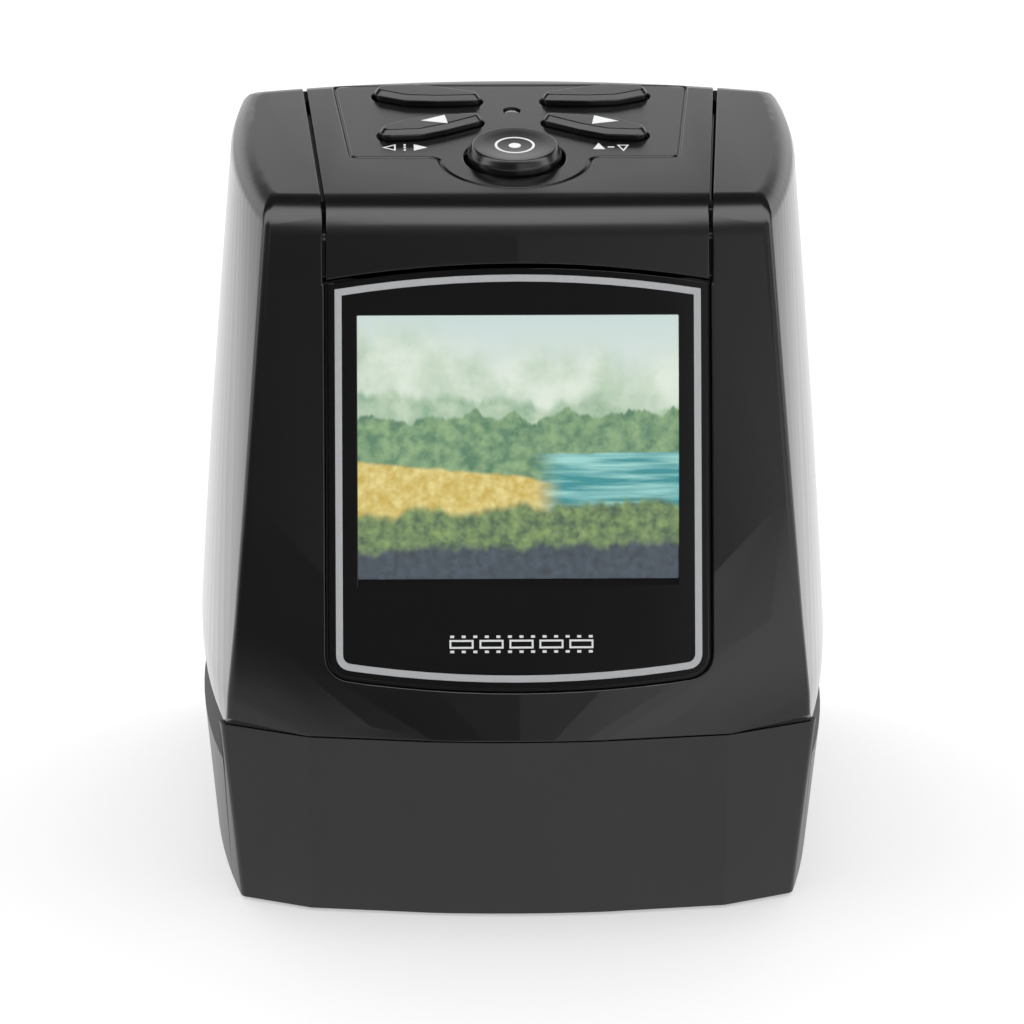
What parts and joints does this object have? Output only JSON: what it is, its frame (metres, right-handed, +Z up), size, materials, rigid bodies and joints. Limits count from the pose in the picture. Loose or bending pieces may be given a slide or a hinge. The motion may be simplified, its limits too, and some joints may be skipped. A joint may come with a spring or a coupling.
{
  "type": "film_negative_scanner",
  "caption": "Desktop film negative scanner with a leaning glossy screen panel, a round scan key with four leaf keys on top, and a film slot that runs through its base.",
  "frame": {"origin": "Centre of the bounding box's bottom face, on the table under the middle of the housing.", "axes": "+Z up; the leaning screen faces -Y; +X is to the right of a person who looks at the screen. The film slot runs along X."},
  "size_m": [0.0894, 0.088, 0.1024],
  "materials": {
    "black_abs": "satin moulded black ABS",
    "key_abs": "satin moulded black ABS, a shade darker",
    "track_abs": "matt moulded dark grey ABS",
    "glossy_black": "piano black acrylic",
    "silver_paint": "satin silver print",
    "clear_window": "clear",
    "lcd_face": "lit screen",
    "white_plastic": "white moulded plastic",
    "diffuser_white": "opal acrylic",
    "led_yellow": "phosphor",
    "sheet_metal": "tinned sheet steel",
    "steel": "zinc plated",
    "rubber": "matt",
    "ribbon_film": "polyimide film",
    "circuit_board": "solder resist",
    "chip_black": "moulded epoxy"
  },
  "bodies": {
    "housing": {"base_shell": "black_abs", "rubber_feet": "rubber", "housing_screws": "steel", "upper_housing": "black_abs", "top_cover": "black_abs", "rear_cover": "black_abs", "rear_cover_screws": "steel", "lcd_bezel": "glossy_black", "bezel_ring": "silver_paint", "lcd_window": "clear_window", "lcd_panel": "lcd_face", "lcd_backlight": "white_plastic", "lcd_bracket": "sheet_metal", "lcd_screws": "steel", "lcd_ribbon": "ribbon_film", "main_board": "circuit_board", "main_chips": "chip_black", "board_screws": "steel", "key_switches": "chip_black", "key_board": "circuit_board", "key_board_screws": "steel", "status_led": "clear_window", "light_pipe": "clear_window", "io_board": "circuit_board", "io_board_screws": "steel", "usb_socket": "sheet_metal", "card_socket": "sheet_metal", "film_track_lower": "track_abs", "film_track_upper": "track_abs", "detent_spring": "steel", "backlight_housing": "white_plastic", "backlight_board": "white_plastic", "backlight_leds": "led_yellow", "diffuser_plate": "diffuser_white", "optics_tower": "track_abs", "tower_screws": "steel", "lens_barrel": "chip_black", "lens_elements": "clear_window", "sensor_board": "circuit_board", "image_sensor": "lcd_face", "sensor_screws": "steel"},
    "scan_key": {"scan_button": "key_abs", "scan_plunger": "white_plastic"},
    "left_key": {"left_button": "key_abs", "left_plunger": "white_plastic"},
    "right_key": {"right_button": "key_abs", "right_plunger": "white_plastic"},
    "rear_left_key": {"rear_left_button": "key_abs", "rear_left_plunger": "white_plastic"},
    "rear_right_key": {"rear_right_button": "key_abs", "rear_right_plunger": "white_plastic"},
    "detent": {"detent_pin": "steel"}
  },
  "joints": [
    {"name": "scan_press", "type": "slide", "parent": "housing", "child": "scan_key", "axis": [0, 0.1357, -0.9907], "range_m": [0, 0.0007], "stiffness_N_per_m": 2000, "springref_m": -0.0005},
    {"name": "left_press", "type": "slide", "parent": "housing", "child": "left_key", "axis": [0, 0.1357, -0.9907], "range_m": [0, 0.0007], "stiffness_N_per_m": 2000, "springref_m": -0.0005},
    {"name": "right_press", "type": "slide", "parent": "housing", "child": "right_key", "axis": [0, 0.1357, -0.9907], "range_m": [0, 0.0007], "stiffness_N_per_m": 2000, "springref_m": -0.0005},
    {"name": "rear_left_press", "type": "slide", "parent": "housing", "child": "rear_left_key", "axis": [0, 0.1357, -0.9907], "range_m": [0, 0.0007], "stiffness_N_per_m": 2000, "springref_m": -0.0005},
    {"name": "rear_right_press", "type": "slide", "parent": "housing", "child": "rear_right_key", "axis": [0, 0.1357, -0.9907], "range_m": [0, 0.0007], "stiffness_N_per_m": 2000, "springref_m": -0.0005},
    {"name": "detent_slide", "type": "slide", "parent": "housing", "child": "detent", "axis": [0, 1, 0], "range_m": [0, 0.001], "stiffness_N_per_m": 800, "springref_m": -0.0005, "deforming": ["detent_spring"]}
  ]
}
